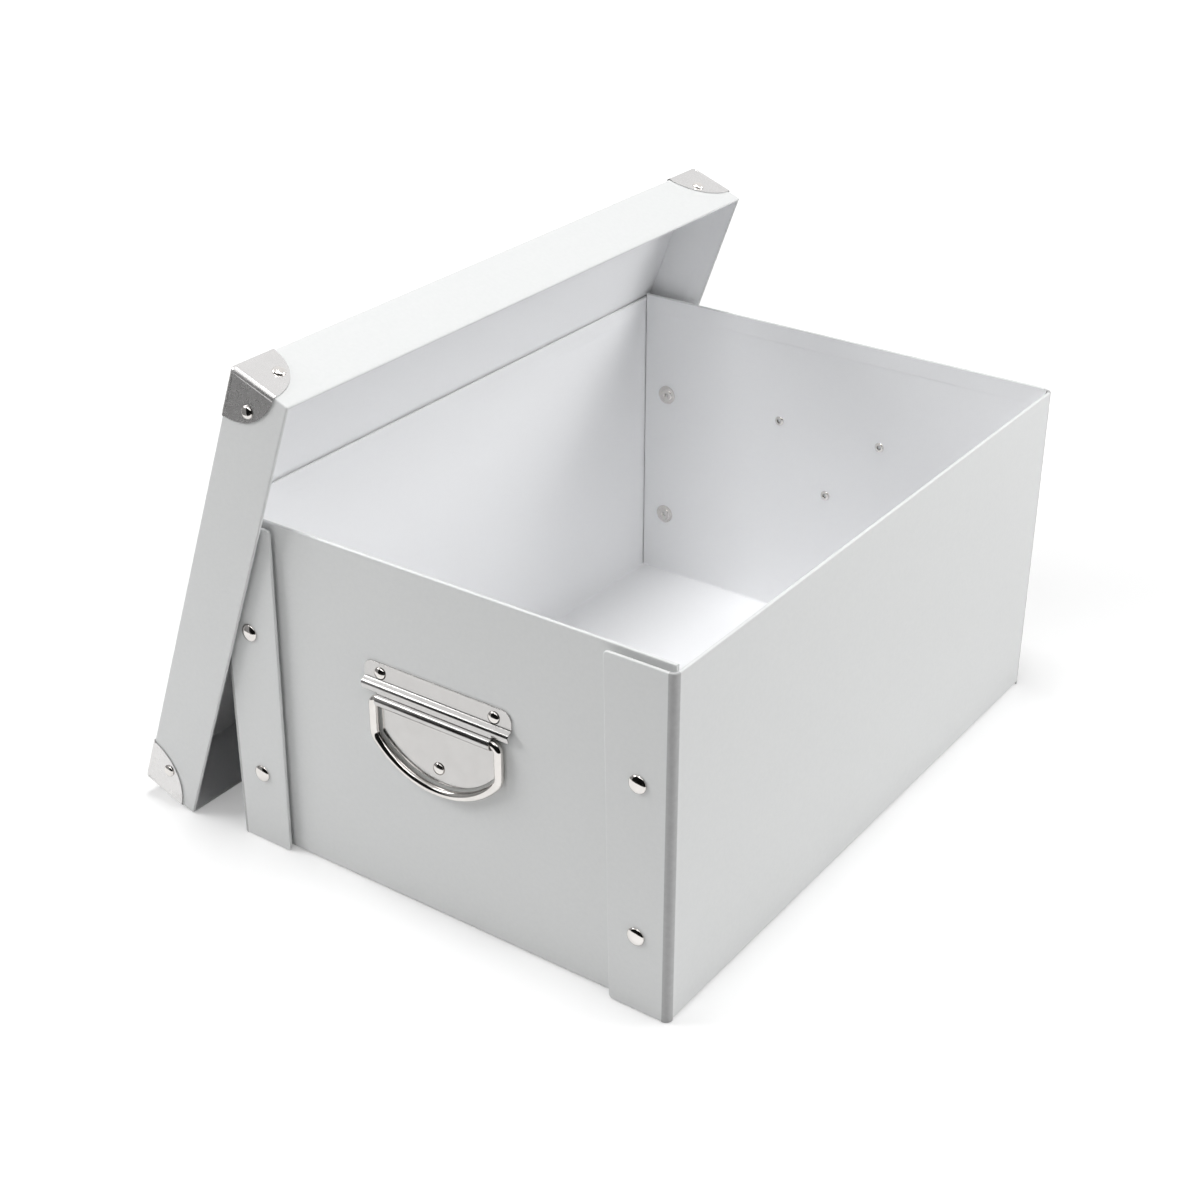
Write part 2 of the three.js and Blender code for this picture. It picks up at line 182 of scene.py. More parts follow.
def make_piece(bm, name, material, crease=40):
    """The finished object, with its place in its mesh."""
    for face in bm.faces:
        face.smooth = True
    for edge in bm.edges:
        edge.smooth = len(edge.link_faces) == 2 and edge.calc_face_angle() < math.radians(crease)
    mesh = bpy.data.meshes.new(name)
    bm.to_mesh(mesh)
    bm.free()
    mesh.materials.append(material)
    piece = bpy.data.objects.new(name, mesh)
    bpy.context.scene.collection.objects.link(piece)
    flat_faces = piece.modifiers.new("flat_faces", "WEIGHTED_NORMAL")
    flat_faces.keep_sharp = True
    return piece


# Finishes

def new_material(name):
    material = bpy.data.materials.new(name)
    material.use_nodes = True
    nodes = material.node_tree.nodes
    return material, nodes, material.node_tree.links, nodes["Principled BSDF"]


def grain(nodes, links, scale, detail=3.0, roughness=0.5):
    """Noise in the object's own coordinates."""
    place_node = nodes.new("ShaderNodeTexCoord")
    noise = nodes.new("ShaderNodeTexNoise")
    noise.inputs["Scale"].default_value = scale
    noise.inputs["Detail"].default_value = detail
    noise.inputs["Roughness"].default_value = roughness
    links.new(place_node.outputs["Object"], noise.inputs["Vector"])
    return noise


def spread(nodes, links, source, low, high):
    """Stretches a noise's middle range to run from low to high."""
    ramp = nodes.new("ShaderNodeMapRange")
    ramp.inputs["From Min"].default_value = 0.3
    ramp.inputs["From Max"].default_value = 0.7
    ramp.inputs["To Min"].default_value = low
    ramp.inputs["To Max"].default_value = high
    links.new(source, ramp.inputs["Value"])
    return ramp


def paper_finish(name, low, high, smooth, rough):
    """Laminated paper on board: satin, with the faintest mottle and tooth."""
    material, nodes, links, shader = new_material(name)
    mottle = grain(nodes, links, 420, 5)
    tint = nodes.new("ShaderNodeMix")
    tint.data_type = "RGBA"
    tint.inputs["A"].default_value = low
    tint.inputs["B"].default_value = high
    shade = spread(nodes, links, mottle.outputs["Fac"], 0, 1)
    links.new(shade.outputs["Result"], tint.inputs["Factor"])
    links.new(tint.outputs["Result"], shader.inputs["Base Color"])
    gloss = grain(nodes, links, 900, 2)
    sheen = spread(nodes, links, gloss.outputs["Fac"], smooth, rough)
    links.new(sheen.outputs["Result"], shader.inputs["Roughness"])
    tooth = grain(nodes, links, 1600, 3, 0.6)
    bump = nodes.new("ShaderNodeBump")
    bump.inputs["Strength"].default_value = 0.2
    bump.inputs["Distance"].default_value = 0.03 * mm
    links.new(tooth.outputs["Fac"], bump.inputs["Height"])
    links.new(bump.outputs["Normal"], shader.inputs["Normal"])
    shader.inputs["IOR"].default_value = 1.45
    return material


def metal_finish(name, low, high, smooth, rough):
    """Plated metal: its colour and gloss wander a little, as on a handled part."""
    material, nodes, links, shader = new_material(name)
    shader.inputs["Metallic"].default_value = 1
    wander = grain(nodes, links, 140, 3)
    tint = nodes.new("ShaderNodeMix")
    tint.data_type = "RGBA"
    tint.inputs["A"].default_value = low
    tint.inputs["B"].default_value = high
    shade = spread(nodes, links, wander.outputs["Fac"], 0, 1)
    links.new(shade.outputs["Result"], tint.inputs["Factor"])
    links.new(tint.outputs["Result"], shader.inputs["Base Color"])
    haze = grain(nodes, links, 700, 3)
    gloss = spread(nodes, links, haze.outputs["Fac"], smooth, rough)
    links.new(gloss.outputs["Result"], shader.inputs["Roughness"])
    ripple = grain(nodes, links, 90, 2)
    bump = nodes.new("ShaderNodeBump")
    bump.inputs["Strength"].default_value = 0.05
    bump.inputs["Distance"].default_value = 0.05 * mm
    links.new(ripple.outputs["Fac"], bump.inputs["Height"])
    links.new(bump.outputs["Normal"], shader.inputs["Normal"])
    return material


white_paper = paper_finish("white_paper", (0.780, 0.790, 0.787, 1), (0.800, 0.809, 0.806, 1), 0.40, 0.52)
# Painted shade: the round corner folds get a darker copy of the white paper, standing in for the shade that
# falls on them.
fold_painted_shade_paper = paper_finish("fold_painted_shade_paper", (0.500, 0.500, 0.502, 1), (0.545, 0.547, 0.547, 1), 0.46, 0.60)
# Painted light: the inner faces of the box and lid get a brighter copy of the white paper, standing in for
# the light that bounces round inside.
lining_painted_light_paper = paper_finish("lining_painted_light_paper", (0.945, 0.949, 0.960, 1), (0.955, 0.959, 0.968, 1), 0.50, 0.62)
bright_nickel = metal_finish("bright_nickel", (0.69, 0.665, 0.64, 1), (0.75, 0.725, 0.70, 1), 0.07, 0.12)
pressed_steel = metal_finish("pressed_steel", (0.545, 0.535, 0.525, 1), (0.575, 0.565, 0.555, 1), 0.15, 0.21)
corner_steel = metal_finish("corner_steel", (0.68, 0.67, 0.665, 1), (0.70, 0.69, 0.685, 1), 0.25, 0.28)
# Painted shade: near-black metal for the inside of the rivets' hollow ends, standing in for the shade deep
# in the bore.
bore_painted_shade_steel = metal_finish("bore_painted_shade_steel", (0.05, 0.04, 0.035, 1), (0.09, 0.075, 0.06, 1), 0.35, 0.5)


# Box

def rim_edges(bm, height):
    """Long edges at the top of a wall."""
    return [e for e in bm.edges
            if all(abs(v.co.z - height) < same_spot for v in e.verts) and e.calc_length() > 2 * board]


def thin_inside(ring, axis, inner, step):
    """Steps the inner face back where the paper that is turned in over the rim ends."""
    for vert in {v for e in ring for v in e.verts}:
        if abs(vert.co[axis] - inner) < same_spot:
            vert.co[axis] += step


def long_wall(bm, side):
    """A long wall with the fold under it that turns into the floor."""
    wall_end = half_length - corner_fold
    outer, inner = side * half_width, side * (half_width - board)
    corners = [(outer, -wall_end), (inner, -wall_end), (inner, wall_end), (outer, wall_end)]
    ring = closed_loop(bm, [(x, y, side_wall_height) for x, y in corners])
    ring = run(bm, ring, (0, 0, -turned_in))
    ring = run(bm, ring, (0, 0, -paper_step))
    thin_inside(ring, 0, inner, side * paper_step)
    ring = run(bm, ring, (0, 0, floor_fold - side_wall_height + turned_in + paper_step))
    centre = (side * (half_width - floor_fold), 0, floor_fold)
    bend(bm, ring, centre, (0, 1, 0), side * QUARTER_TURN, 6)


def end_walls_and_floor(bm):
    """One strip of board: an end wall, the floor and the other end wall."""
    corners = [(-end_half_width, -end_face), (end_half_width, -end_face),
               (end_half_width, board - end_face), (-end_half_width, board - end_face)]
    ring = closed_loop(bm, [(x, y, end_wall_height) for x, y in corners])
    fold_y = end_face - floor_fold
    inner = board - end_face
    ring = run(bm, ring, (0, 0, -turned_in))
    ring = run(bm, ring, (0, 0, -paper_step))
    thin_inside(ring, 1, inner, -paper_step)
    ring = run(bm, ring, (0, 0, floor_fold - end_wall_height + turned_in + paper_step))
    ring = bend(bm, ring, (0, -fold_y, floor_fold), (1, 0, 0), QUARTER_TURN, 6)
    ring = run(bm, ring, (0, 2 * fold_y, 0))
    ring = bend(bm, ring, (0, fold_y, floor_fold), (1, 0, 0), QUARTER_TURN, 6)
    ring = run(bm, ring, (0, 0, end_wall_height - floor_fold - turned_in - paper_step))
    ring = run(bm, ring, (0, 0, paper_step))
    thin_inside(ring, 1, paper_step - inner, -paper_step)
    run(bm, ring, (0, 0, turned_in))


def make_box_shell():
    bm = bmesh.new()
    for side in SIDES.values():
        long_wall(bm, side)
    end_walls_and_floor(bm)
    close_ends(bm)
    soften(bm, rim_edges(bm, side_wall_height) + rim_edges(bm, end_wall_height), paper_edge)
    # The inner faces take the brighter painted-light paper.
    inner_half, inner_end = half_width - board + 2 * paper_step, end_face - board + 2 * paper_step
    line_inside(bm, lambda c: abs(c.x) < inner_half and abs(c.y) < inner_end
                and mm < c.z < end_wall_height - mm)
    shell = make_piece(bm, "box_shell", white_paper)
    shell.data.materials.append(lining_painted_light_paper)
    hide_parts("box_body")
    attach(shell, "box")


def corner_matrix(end, side):
    """From the front right corner to the others."""
    return Matrix.Diagonal((side, -end, 1, 1))


def make_fold(end, side):
    """The round fold between a long wall and its flap, in white paper darkened with painted shade."""
    bm = bmesh.new()
    y = corner_fold - half_length
    outline = [(half_width, flap_foot), (half_width - board, flap_foot),
               (half_width - board, side_wall_height), (half_width, side_wall_height)]
    ring = closed_loop(bm, [(x, y, z) for x, z in outline])
    bend(bm, ring, (half_width - corner_fold, y, 0), (0, 0, 1), -QUARTER_TURN, 10)
    close_ends(bm)
    tops = [e for e in bm.edges if all(abs(v.co.z - side_wall_height) < same_spot for v in e.verts)
            and not e.calc_length() > 1.9 * mm]
    soften(bm, tops, paper_edge)
    place(bm, corner_matrix(ENDS[end], SIDES[side]))
    fold = make_piece(bm, f"corner_fold_{end}_{side}", fold_painted_shade_paper)
    if side == "left":
        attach(fold, "box")
        return
    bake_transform(fold)


def make_flap(end, side):
    """A flap lying on the end wall, with wrapped edges and two rounded corners."""
    bm = bmesh.new()
    hinge = half_width - corner_fold
    top, bottom = half_width - flap_top_width, half_width - flap_bottom_width
    outline = [(hinge, flap_foot), (hinge, side_wall_height), (top, side_wall_height), (bottom, flap_foot)]
    ring = closed_loop(bm, [(x, -half_length, z) for x, z in outline])
    bmesh.ops.contextual_create(bm, geom=ring)
    round_corners(bm, [v for v in bm.verts if v.co.x < hinge - mm], flap_round, 6)
    back = bmesh.ops.extrude_face_region(bm, geom=list(bm.faces), use_keep_orig=True)["geom"]
    bmesh.ops.translate(bm, verts=verts_of(back), vec=(0, board, 0))
    bmesh.ops.recalc_face_normals(bm, faces=bm.faces)
    free = [e for e in bm.edges if not all(abs(v.co.x - hinge) < same_spot for v in e.verts)
            and abs(e.verts[0].co.y - e.verts[1].co.y) < same_spot]
    soften(bm, free, paper_edge)
    place(bm, corner_matrix(ENDS[end], SIDES[side]))
    flap = make_piece(bm, f"paper_flap_{end}_{side}", white_paper)
    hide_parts(f"flap_{end}_{side}")
    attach(flap, "box" if side == "left" else f"{end}_right_flap")


def on_end_wall(end, x, z):
    """From a piece's own place to an end wall's outer face, with own Y pointing out of the wall."""
    turn = math.pi if end == "front" else 0
    return Matrix.Translation((x, ENDS[end] * end_face, z)) @ Matrix.Rotation(turn, 4, "Z")


# Turned pieces

def turned(profile, matrix, sides=32):
    """Spins a profile of (radius, height) round its own Y."""
    bm = bmesh.new()
    verts = [bm.verts.new((r * mm, h * mm, 0)) for r, h in profile]
    edges = [bm.edges.new(pair) for pair in zip(verts, verts[1:])]
    bmesh.ops.spin(bm, geom=verts + edges, cent=(0, 0, 0), axis=(0, 1, 0), dvec=(0, 0, 0),
                   angle=FULL_TURN, steps=sides, use_merge=True, use_duplicate=False)
    bmesh.ops.remove_doubles(bm, verts=bm.verts, dist=same_spot)
    bmesh.ops.recalc_face_normals(bm, faces=bm.faces)
    place(bm, matrix)
    return bm


def dome(foot_radius, foot, rise, steps=7):
    """Profile points over a dome from its rim up to its top."""
    angles = [QUARTER_TURN * k / steps for k in range(steps + 1)]
    return [(foot_radius * math.cos(a), foot + rise * math.sin(a)) for a in angles]


SNAP_PROFILES = {
    "snap_cap": [(0, 2.4), (1.9, 2.4), (1.9, 4.42), (4.75, 4.42), (4.97, 4.5), *dome(5, 4.7, 1.9, 9)],
    "snap_socket": [(2.3, 0.8), (4.4, 0.8), (4.6, 1.0), (4.6, 2.2), (4.4, 2.4), (2.3, 2.4), (2.3, 0.8)],
    "snap_stud": [(0, 1.6), (1.2, 1.6), (1.2, 0), (4.1, 0), (4.2, 0.1), (4.2, 0.4), (4.1, 0.5), (1.9, 0.5),
                  (2, 1.9), (1.8, 2.1), (1.2, 2.1), (0, 2.1)],
    "snap_eyelet": [(1.2, 0), (1.2, -3), (1.5, -3.3), (2.2, -3.4), (3.4, -3.35), (3.9, -3.1), (4.1, -2.75),
                    (5.8, -2.6), (6.1, -2.45), (6.2, -2.2), (6.15, -2.02), (1.9, -2.02), (1.9, 0), (1.2, 0)],
}


def make_snaps(end, side):
    for height, z in snap_heights.items():
        for name, profile in SNAP_PROFILES.items():
            bm = turned(profile, on_end_wall(end, SIDES[side] * snap_x, z))
            node = f"{name}_{end}_{side}_{height}"
            piece = make_piece(bm, node.replace("snap", "press"), bright_nickel)
            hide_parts(node)
            on_flap = side == "right" and name in ("snap_cap", "snap_socket")
            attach(piece, f"{end}_right_flap" if on_flap else "box")


def rivet_profile():
    """A domed head outside and a set, hollow end inside."""
    tail = [(0, tail_seat + 2), (1.25, tail_seat + 2), (1.3, tail_seat - 0.6), (1.5, tail_seat - 0.95),
            (2.0, tail_seat - 1), (2.7, tail_seat - 0.75), (3, tail_seat - 0.3), (2.95, tail_seat - 0.02),
            (1.7, tail_seat - 0.02), (1.7, head_seat + 0.02), (3.3, head_seat + 0.02)]
    return tail + dome(3.5, head_seat + 0.2, 1.6, 8)


def make_rivet(name, node, matrix):
    """A rivet whose set end is hollow, with painted shade on the faces inside its bore."""
    bm = turned(rivet_profile(), matrix)
    # Faces inside the bore get the dark painted-shade metal.
    back_to_own = matrix.inverted()
    for face in bm.faces:
        middle = back_to_own @ face.calc_center_median()
        in_bore = math.hypot(middle.x, middle.z) < 1.35 * mm
        face.material_index = int(in_bore and middle.y < (tail_seat + 2.1) * mm)
    piece = make_piece(bm, name, bright_nickel)
    piece.data.materials.append(bore_painted_shade_steel)
    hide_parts(node)
    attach(piece, "box")


def make_handle_rivets(end):
    for spot, (x, z) in handle_rivets.items():
        seat = on_end_wall(end, x, pin_height + z)
        make_rivet(f"domed_rivet_{end}_{spot}", f"handle_rivet_{end}_{spot}", seat)


# Handles

def pressed_strip(bm, half_across, path):
    """A strip of sheet that follows a path of (rise, height), mid-sheet."""
    points = [Vector((0, rise * mm, height * mm)) for rise, height in path]
    rows = []
    for i, point in enumerate(points):
        ahead = points[min(i + 1, len(points) - 1)] - points[max(i - 1, 0)]
        out = Vector((0, -ahead.z, ahead.y)).normalized() * plate_sheet / 2
        across = Vector((half_across, 0, 0))
        rows.append(closed_loop(bm, [point - out - across, point - out + across,
                                     point + out + across, point + out - across]))
    for lower, upper in zip(rows, rows[1:]):
        bmesh.ops.bridge_loops(bm, edges=lower + upper)


LIP = [(0.4, 10.8), (0.4, 10.2), (0.9, 9.4), (2.2, 8.7), (3.2, 8.1), (3.7, 7.3), (3.7, 6.2), (3.3, 5.0),
       (3.1, 4.0)]
BEAD = [(pin_rise / mm + 3.2 * math.cos(math.radians(a)), 3.2 * math.sin(math.radians(a)))
        for a in range(75, -91, -11)]
BEAD_STRIP = [(3.6, 6.6), (3.5, 5.4), (3.3, 4.2)] + BEAD + [(1.6, -3.3), (0.4, -4.1), (0.4, -4.9)]


def sharp_edges(bm):
    return [e for e in bm.edges if e.calc_face_angle(0) > sharp_bend]


def plate_flats():
    """The plate's two flat parts: a strip above the lip and a piece of a disc below the bead."""
    flats = bmesh.new()
    upright = Matrix.Rotation(QUARTER_TURN, 4, "X")
    bmesh.ops.create_circle(flats, cap_ends=True, radius=lower_disc, segments=128,
                            matrix=Matrix.Translation((0, 0, bail_arc_centre)) @ upright)
    for spot, normal in (((lower_half_width, 0, 0), (1, 0, 0)), ((-lower_half_width, 0, 0), (-1, 0, 0)),
                         ((0, 0, lower_top), (0, 0, 1))):
        geom = list(flats.verts) + list(flats.edges) + list(flats.faces)
        bmesh.ops.bisect_plane(flats, geom=geom, plane_co=spot, plane_no=normal, clear_outer=True)
    corners = [v for v in flats.verts
               if abs(abs(v.co.x) - lower_half_width) < same_spot and v.co.z < 2 * lower_top]
    round_corners(flats, corners, lower_corner, 6)
    across = plate_half_width
    ring = closed_loop(flats, [(-across, 0, plate_foot), (across, 0, plate_foot),
                               (across, 0, plate_top), (-across, 0, plate_top)])
    bmesh.ops.contextual_create(flats, geom=ring)
    round_corners(flats, [v for v in flats.verts if v.co.z > (plate_foot + plate_top) / 2], plate_corner, 8)
    bmesh.ops.remove_doubles(flats, verts=flats.verts, dist=0.3 * mm)
    back = bmesh.ops.extrude_face_region(flats, geom=list(flats.faces), use_keep_orig=True)["geom"]
    bmesh.ops.translate(flats, verts=verts_of(back), vec=(0, plate_sheet, 0))
    bmesh.ops.recalc_face_normals(flats, faces=flats.faces)
    soften(flats, sharp_edges(flats), plate_edge, 2)
    return flats


def make_plate(end):
    """The pressed plate: its lip, the bead that holds the wire, and its flat parts."""
    bm = bmesh.new()
    pressed_strip(bm, plate_half_width, LIP)
    pressed_strip(bm, lower_half_width, BEAD_STRIP)
    close_ends(bm)
    soften(bm, sharp_edges(bm), plate_edge, 2)
    flats = plate_flats()
    spare = bpy.data.meshes.new("flats")
    flats.to_mesh(spare)
    flats.free()
    bm.from_mesh(spare)
    bpy.data.meshes.remove(spare)
    place(bm, on_end_wall(end, 0, pin_height))
    plate = make_piece(bm, f"pressed_plate_{end}", pressed_steel, 50)
    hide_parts(f"handle_plate_{end}")
    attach(plate, "box")


def make_bail(end):
    """Half of the wire is run and bent from the bead to the grip's middle, then mirrored."""
    bm = bmesh.new()
    start = Matrix.Translation((bail_butt, pin_rise, 0)) @ Matrix.Rotation(QUARTER_TURN, 4, "Y")
    made = bmesh.ops.create_circle(bm, cap_ends=False, radius=wire_radius, segments=20, matrix=start)
    ring = list({e for v in made["verts"] for e in v.link_edges})
    ring = run(bm, ring, (bail_half_width - bail_shoulder - bail_butt, 0, 0))
    centre = (bail_half_width - bail_shoulder, pin_rise, -bail_shoulder)
    ring = bend(bm, ring, centre, (0, 1, 0), QUARTER_TURN, 8)
    corner_x = bail_half_width - bail_corner
    reach = bail_arc - bail_corner
    corner_z = bail_arc_centre - math.sqrt(reach ** 2 - corner_x ** 2)
    turn = math.acos(corner_x / reach)
    ring = run(bm, ring, (0, 0, corner_z + bail_shoulder))
    ring = bend(bm, ring, (corner_x, pin_rise, corner_z), (0, 1, 0), turn, 8)
    bend(bm, ring, (0, pin_rise, bail_arc_centre), (0, 1, 0), QUARTER_TURN - turn, 16)
    half = list(bm.verts) + list(bm.edges) + list(bm.faces)
    bmesh.ops.mirror(bm, geom=half, matrix=Matrix.Identity(4), merge_dist=1e-5, axis="X")
    bmesh.ops.remove_doubles(bm, verts=bm.verts, dist=same_spot)
    close_ends(bm)
    place(bm, on_end_wall(end, 0, pin_height))
    bail = make_piece(bm, f"wire_bail_{end}", bright_nickel)
    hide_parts(f"handle_bail_{end}")
    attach(bail, f"{end}_bail")


# Lid

up_lean = Vector((math.sin(lid_lean), 0, math.cos(lid_lean)))
away = Vector((-math.cos(lid_lean), 0, math.sin(lid_lean)))
lid_frame = Matrix.Translation(lid_foot) @ Matrix((up_lean, Vector((0, 1, 0)), away)).transposed().to_4x4()
LID_CORNERS = {"bottom": (0, -1), "top": (lid_width, 1)}


def make_lid():
    """A tray whose open side faces the storage box, with rounded paper edges."""
    bm = bmesh.new()
    middle = Matrix.Translation((lid_width / 2, 0, -lid_depth / 2))
    full_size = Matrix.Diagonal((lid_width, 2 * lid_half_length, lid_depth, 1))
    bmesh.ops.create_cube(bm, size=1, matrix=middle @ full_size)
    mouth = [f for f in bm.faces if f.normal.z < -0.9]
    bmesh.ops.inset_region(bm, faces=mouth, thickness=board, use_even_offset=True)
    floor_run = lid_depth - board - turned_in - paper_step
    for way, widen in ((turned_in, 0), (paper_step, paper_step), (floor_run, 0)):
        made = bmesh.ops.extrude_face_region(bm, geom=mouth)["geom"]
        bmesh.ops.delete(bm, geom=mouth, context="FACES_ONLY")
        mouth = [g for g in made if isinstance(g, bmesh.types.BMFace)]
        for vert in verts_of(made):
            across = math.copysign(widen, vert.co.x - lid_width / 2)
            vert.co += Vector((across, math.copysign(widen, vert.co.y), way))
    bmesh.ops.recalc_face_normals(bm, faces=bm.faces)
    rim = [e for e in bm.edges if all(abs(v.co.z + lid_depth) < same_spot for v in e.verts)
           and e.calc_face_angle(0) > 1]
    outer = [e for e in bm.edges if all(abs(abs(v.co.y) - lid_half_length) < same_spot for v in e.verts)]
    soften(bm, list(set(rim + outer)), lid_edge)
    # The inner faces take the brighter painted-light paper.
    inner_end = lid_half_length - board + 2 * paper_step
    line_inside(bm, lambda c: mm < c.x < lid_width - mm and abs(c.y) < inner_end
                and mm - lid_depth < c.z < -mm)
    place(bm, lid_frame)
    tray = make_piece(bm, "lid_tray", white_paper)
    tray.data.materials.append(lining_painted_light_paper)
    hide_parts("lid")
    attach(tray, "box")


def leaves_of(verts):
    """The axes of the corner's leaves that all the vertices lie in."""
    return [k for k in range(3) if all(abs(v.co[k] - corner_face) < same_spot for v in verts)]


def make_lid_corner(end, height):
    """Three quarter-round leaves with a raised bead where they meet."""
    at, sign = LID_CORNERS[height]
    tip = Vector((corner_face,) * 3)
    size = corner_reach + corner_face
    bm = bmesh.new()
    bmesh.ops.create_cube(bm, size=size, matrix=Matrix.Translation((corner_face - size / 2,) * 3))
    bmesh.ops.delete(bm, geom=[f for f in bm.faces if sum(f.normal) < 0], context="FACES")
    bmesh.ops.subdivide_edges(bm, edges=list(bm.edges), cuts=7, use_grid_fill=True)
    for vert in bm.verts:
        reach = tip - vert.co
        if reach.length > 0:
            vert.co = tip - reach * max(reach) / reach.length
    ridge = [e for e in bm.edges if len(leaves_of(e.verts)) == 2]
    soften(bm, ridge, bead_half, 6)
    groove = corner_face - bead_half - bead_groove
    for axis in Matrix.Identity(3):
        geom = list(bm.verts) + list(bm.edges) + list(bm.faces)
        bmesh.ops.bisect_plane(bm, geom=geom, plane_co=axis * groove, plane_no=axis)
    for vert in bm.verts:
        flat = leaves_of([vert])
        if len(flat) == 1 and all(vert.co[k] < groove + same_spot for k in range(3) if k != flat[0]):
            vert.co[flat[0]] -= bead_rise
    bmesh.ops.recalc_face_normals(bm, faces=bm.faces)
    bmesh.ops.solidify(bm, geom=list(bm.faces), thickness=corner_sheet)
    spot = Matrix.Translation((at, ENDS[end] * lid_half_length, 0))
    place(bm, lid_frame @ spot @ Matrix.Diagonal((sign, ENDS[end], 1, 1)))
    leaf = make_piece(bm, f"metal_corner_{end}_{height}", corner_steel, 50)
    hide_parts(f"lid_corner_{end}_{height}")
    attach(leaf, "box")


def make_lid_rivets(end, height):
    at, sign = LID_CORNERS[height]
    way = ENDS[end]
    on_end = Matrix.Translation((at - sign * rivet_along, way * lid_half_length, -rivet_across))
    on_side = Matrix.Translation((at, way * (lid_half_length - rivet_along), -rivet_across))
    turns = {
        "end": on_end @ Matrix.Rotation(math.pi if way < 0 else 0, 4, "Z"),
        "side": on_side @ Matrix.Rotation(-sign * QUARTER_TURN, 4, "Z"),
    }
    for spot, matrix in turns.items():
        name = f"{end}_{height}_{spot}"
        make_rivet(f"corner_rivet_{name}", f"lid_rivet_{name}", lid_frame @ matrix)


make_box_shell()
for end in ENDS:
    for side in SIDES:
        make_fold(end, side)
        make_flap(end, side)
        make_snaps(end, side)
    make_handle_rivets(end)
    make_plate(end)
    make_bail(end)
    for height in LID_CORNERS:
        make_lid_corner(end, height)
        make_lid_rivets(end, height)
make_lid()


# Studio

def white_to_the_eye(nodes, links):
    """1 for what the camera, mirrors and glass see, 0 for light that falls on the object."""
    path = nodes.new("ShaderNodeLightPath")
    either = nodes.new("ShaderNodeMath")
    either.operation = "MAXIMUM"
    links.new(path.outputs["Is Camera Ray"], either.inputs[0])
    links.new(path.outputs["Is Glossy Ray"], either.inputs[1])
    both = nodes.new("ShaderNodeMath")
    both.operation = "MAXIMUM"
    links.new(either.outputs["Value"], both.inputs[0])
    links.new(path.outputs["Is Transmission Ray"], both.inputs[1])
    return both.outputs["Value"]


def make_world(fill):
    world = bpy.data.worlds.new("studio")
    bpy.context.scene.world = world
    world.use_nodes = True
    nodes, links = world.node_tree.nodes, world.node_tree.links
    level = nodes.new("ShaderNodeMapRange")
    links.new(white_to_the_eye(nodes, links), level.inputs["Value"])
    level.inputs["To Min"].default_value = fill
    level.inputs["To Max"].default_value = 1
    nodes["Background"].inputs["Color"].default_value = (1, 1, 1, 1)
    links.new(level.outputs["Result"], nodes["Background"].inputs["Strength"])


def make_floor():
    """A wide pale floor that stays white to the eye and keeps the shadow."""
    bm = bmesh.new()
    bmesh.ops.create_grid(bm, x_segments=1, y_segments=1, size=8)
    mesh = bpy.data.meshes.new("studio_floor")
    bm.to_mesh(mesh)
    bm.free()
    floor = bpy.data.objects.new("studio_floor", mesh)
    bpy.context.scene.collection.objects.link(floor)
    material, nodes, links, shader = new_material("floor_white")
    shader.inputs["Base Color"].default_value = (0.8, 0.8, 0.8, 1)
    shader.inputs["Roughness"].default_value = 1
    shader.inputs["Specular IOR Level"].default_value = 0
    shader.inputs["Emission Color"].default_value = (1, 1, 1, 1)
    spot = nodes.new("ShaderNodeTexCoord")
    away_from_box = nodes.new("ShaderNodeVectorMath")
    away_from_box.operation = "LENGTH"
    links.new(spot.outputs["Object"], away_from_box.inputs[0])
    glow = nodes.new("ShaderNodeMapRange")
    glow.interpolation_type = "SMOOTHSTEP"
    for socket, value in (("From Min", 0.4), ("From Max", 1.6), ("To Min", 0.27), ("To Max", 1.0)):
        glow.inputs[socket].default_value = value
    links.new(away_from_box.outputs["Value"], glow.inputs["Value"])
    lift = nodes.new("ShaderNodeMath")
    lift.operation = "MULTIPLY"
    links.new(glow.outputs["Result"], lift.inputs[1])
    links.new(white_to_the_eye(nodes, links), lift.inputs[0])
    links.new(lift.outputs["Value"], shader.inputs["Emission Strength"])
    mesh.materials.append(material)


def make_screen(name, shade, reach, start, stop, height):
    """A screen round the camera's side that only the metal mirrors."""
    bm = bmesh.new()
    first = bm.verts.new((reach * math.sin(start), -reach * math.cos(start), 0))
    bmesh.ops.spin(bm, geom=[first], cent=(0, 0, 0), axis=(0, 0, 1), dvec=(0, 0, 0), angle=stop - start,
                   steps=24, use_merge=False, use_duplicate=False)
    run(bm, list(bm.edges), (0, 0, height))
    mesh = bpy.data.meshes.new(name)
    bm.to_mesh(mesh)
    bm.free()
    screen = bpy.data.objects.new(name, mesh)
    bpy.context.scene.collection.objects.link(screen)
    material, nodes, links, shader = new_material(name)
    shader.inputs["Base Color"].default_value = (shade, shade, shade, 1)
    shader.inputs["Roughness"].default_value = 1
    shader.inputs["Specular IOR Level"].default_value = 0
    mesh.materials.append(material)
    screen.visible_camera = False
    screen.visible_diffuse = False
    screen.visible_transmission = False
    screen.visible_shadow = False


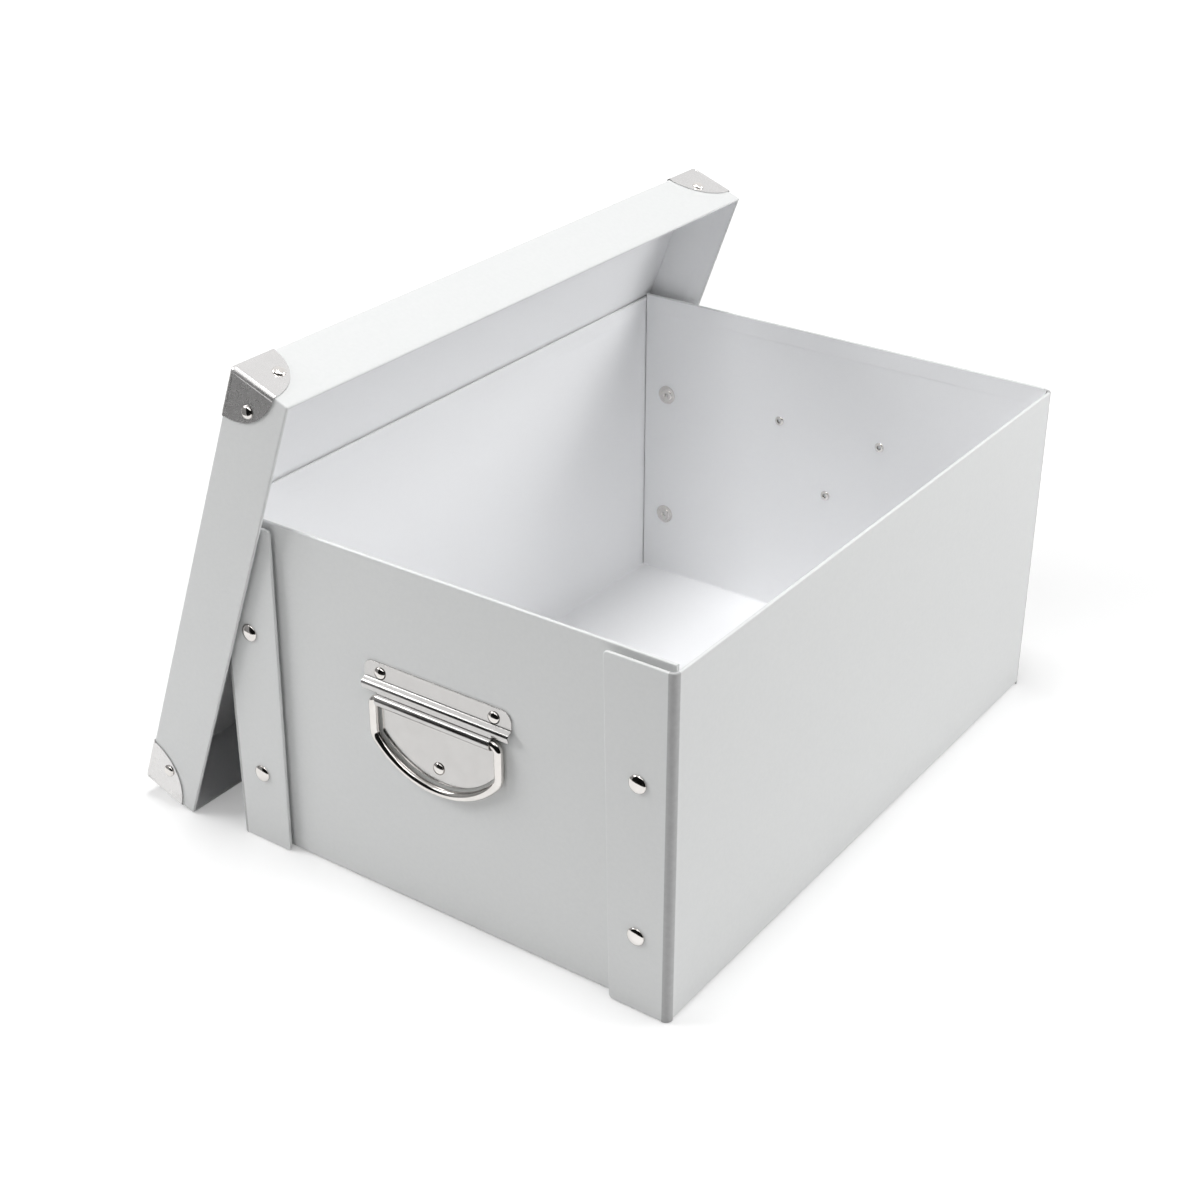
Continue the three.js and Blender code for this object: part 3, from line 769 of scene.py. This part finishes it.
def soft_lamp(name, spot, target, across, watts):
    data = bpy.data.lights.new(name, "AREA")
    data.shape = "SQUARE"
    data.size = across
    data.energy = watts
    lamp = bpy.data.objects.new(name, data)
    bpy.context.scene.collection.objects.link(lamp)
    lamp.location = spot
    lamp.rotation_euler = (Vector(target) - Vector(spot)).to_track_quat("-Z", "Y").to_euler()


camera_angles = (35.1898, 28.4722, 0.0977)
camera_back, camera_right, camera_up = 1.1874, -0.0325, 0.09
camera_lens = 59.96


def make_camera():
    """Turned, raised and rolled as fitted to the photo; the offsets are along its own axes."""
    azimuth, elevation, roll = (math.radians(a) for a in camera_angles)
    back = Vector((math.sin(azimuth) * math.cos(elevation), -math.cos(azimuth) * math.cos(elevation),
                   math.sin(elevation)))
    right = Vector((0, 0, 1)).cross(back).normalized()
    up = back.cross(right)
    tilt = Matrix.Rotation(roll, 3, back)
    right, up = tilt @ right, tilt @ up
    data = bpy.data.cameras.new("camera")
    data.sensor_width = 36
    data.lens = camera_lens
    data.clip_start, data.clip_end = 0.01, 100
    camera = bpy.data.objects.new("camera", data)
    bpy.context.scene.collection.objects.link(camera)
    turned_to_box = Matrix((right, up, back)).transposed().to_4x4()
    spot = back * camera_back + right * camera_right + up * camera_up
    camera.matrix_world = Matrix.Translation(spot) @ turned_to_box
    bpy.context.scene.camera = camera


make_world(0.02)
make_floor()
make_screen("black_screen", 0.01, 0.55, math.radians(-26), math.radians(80), 0.6)
make_screen("grey_screen", 0.35, 0.6, math.radians(-70), math.radians(-26), 0.45)
soft_lamp("overhead", (0, 0, 2.2), (0, 0, 0.1), 0.6, 21.5)
soft_lamp("left", (-1.2, -0.8, 0.9), (0, -0.2, 0.1), 0.8, 13)
soft_lamp("right_back", (1.6, 1.2, 1.0), (0.1, 0, 0.1), 1.0, 21)
soft_lamp("right_high", (1.2, -0.2, 1.7), (0, 0, 0.1), 1.0, 6)
soft_lamp("front_high", (0.2, -1.5, 2.1), (0, 0, 0.1), 1.0, 9)
make_camera()
bpy.context.scene.view_settings.view_transform = "Standard"
